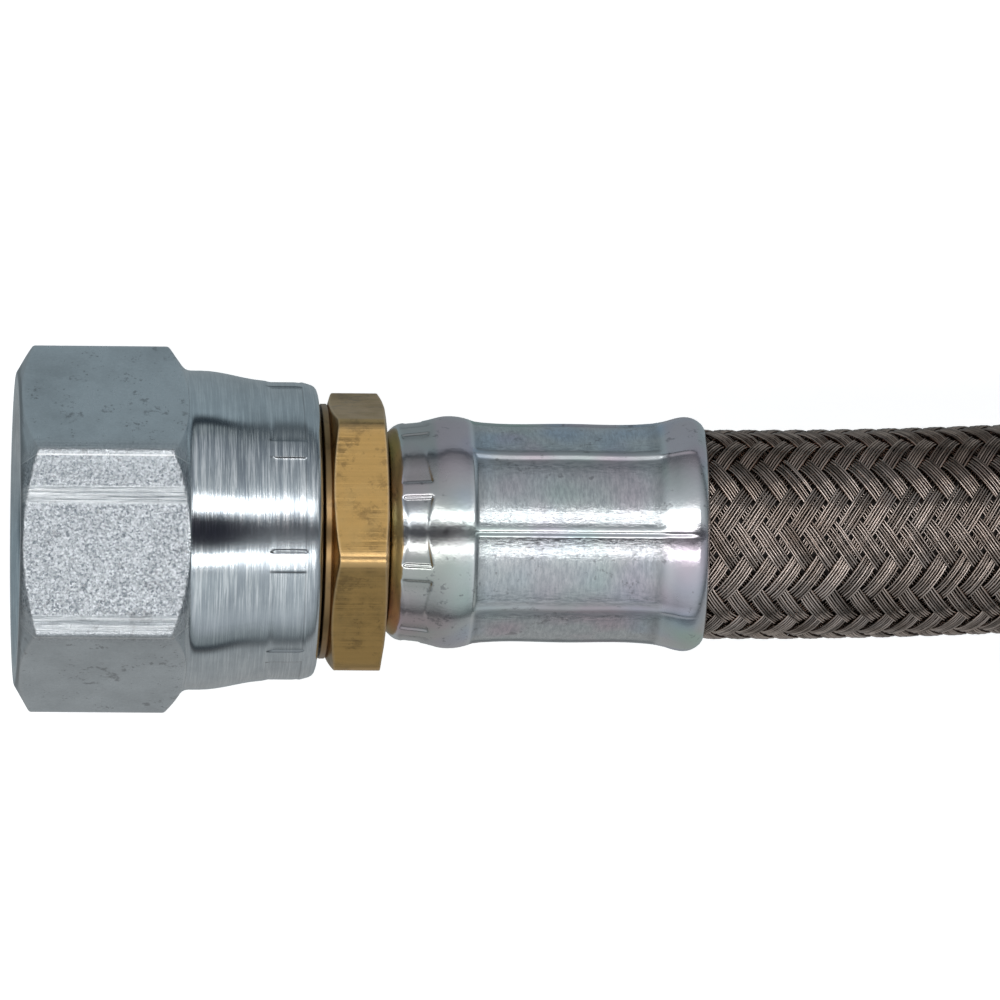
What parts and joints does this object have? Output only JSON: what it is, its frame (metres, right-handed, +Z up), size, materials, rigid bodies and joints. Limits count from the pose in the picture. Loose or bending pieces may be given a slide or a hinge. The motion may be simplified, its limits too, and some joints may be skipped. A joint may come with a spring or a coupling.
{
  "type": "hydraulic hose assembly",
  "caption": "Braided stainless hose with a crimped ferrule, hexagon nipple and free-turning swivel nut at each end.",
  "frame": {"origin": "on the surface the assembly lies on, under the middle of the near fitting (nut, nipple and ferrule)", "axes": "+X along the near fitting's axis, from its nut's mouth towards the hose; +Z up, out of the hexagon flat that faces the picture's camera; +Y to the side, up in the picture"},
  "size_m": [0.5214, 0.0816, 0.0318],
  "materials": {
    "zinc_steel": "bright zinc plate",
    "nipple_brass": "yellow, satin",
    "braid": "woven bright wire",
    "liner": "dark, waxy"
  },
  "bodies": {
    "hose_and_nipples": {"near_nipple": "nipple_brass", "near_ferrule": "zinc_steel", "hose_liner": "liner", "hose_braid": "braid", "far_ferrule": "zinc_steel", "far_nipple": "nipple_brass"},
    "near_swivel": {"near_nut": "zinc_steel"},
    "far_swivel": {"far_nut": "zinc_steel"}
  },
  "joints": [
    {"name": "near_nut_turn", "type": "hinge", "parent": "hose_and_nipples", "child": "near_swivel", "pos_m": [0, 0, 0.01588], "axis": [1, 0, 0], "continuous": true},
    {"name": "far_nut_turn", "type": "hinge", "parent": "hose_and_nipples", "child": "far_swivel", "pos_m": [0.4532, 0.045, 0.01588], "axis": [1, 0, 0], "continuous": true}
  ]
}
